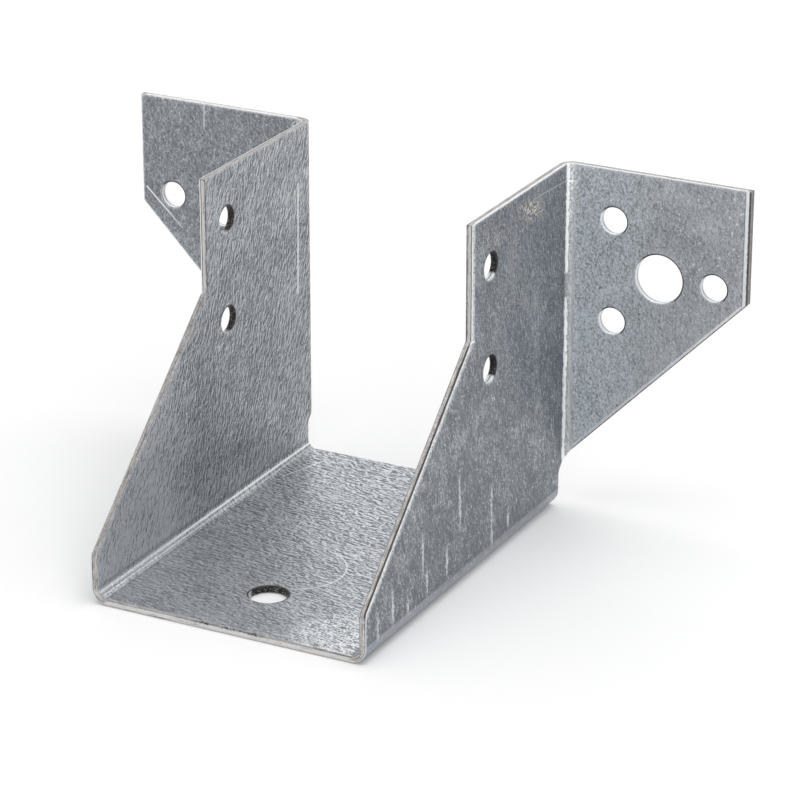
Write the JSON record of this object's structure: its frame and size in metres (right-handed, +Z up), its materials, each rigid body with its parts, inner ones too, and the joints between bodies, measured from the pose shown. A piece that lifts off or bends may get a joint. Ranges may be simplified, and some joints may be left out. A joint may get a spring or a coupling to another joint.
{
  "type": "joist hanger",
  "caption": "Folded sheet-steel joist hanger: a U-shaped seat with tapered cheeks and outward wings, punched for nails into joist and beam, for bolts and for a seat screw.",
  "frame": {"origin": "on the underside of the seat, on the middle line, midway between the wings' rear faces and the seat's front edge", "axes": "+X across the joist, +Y from the seat's front edge back towards the beam, +Z up from the seat"},
  "size_m": [0.1234, 0.0782, 0.0655],
  "materials": {
    "galvanised_sheet": "hot-dip galvanised strip, dull grey with fine spangle mottling and light forming scratches"
  },
  "bodies": {
    "root": {"hanger": "galvanised_sheet"}
  },
  "joints": []
}
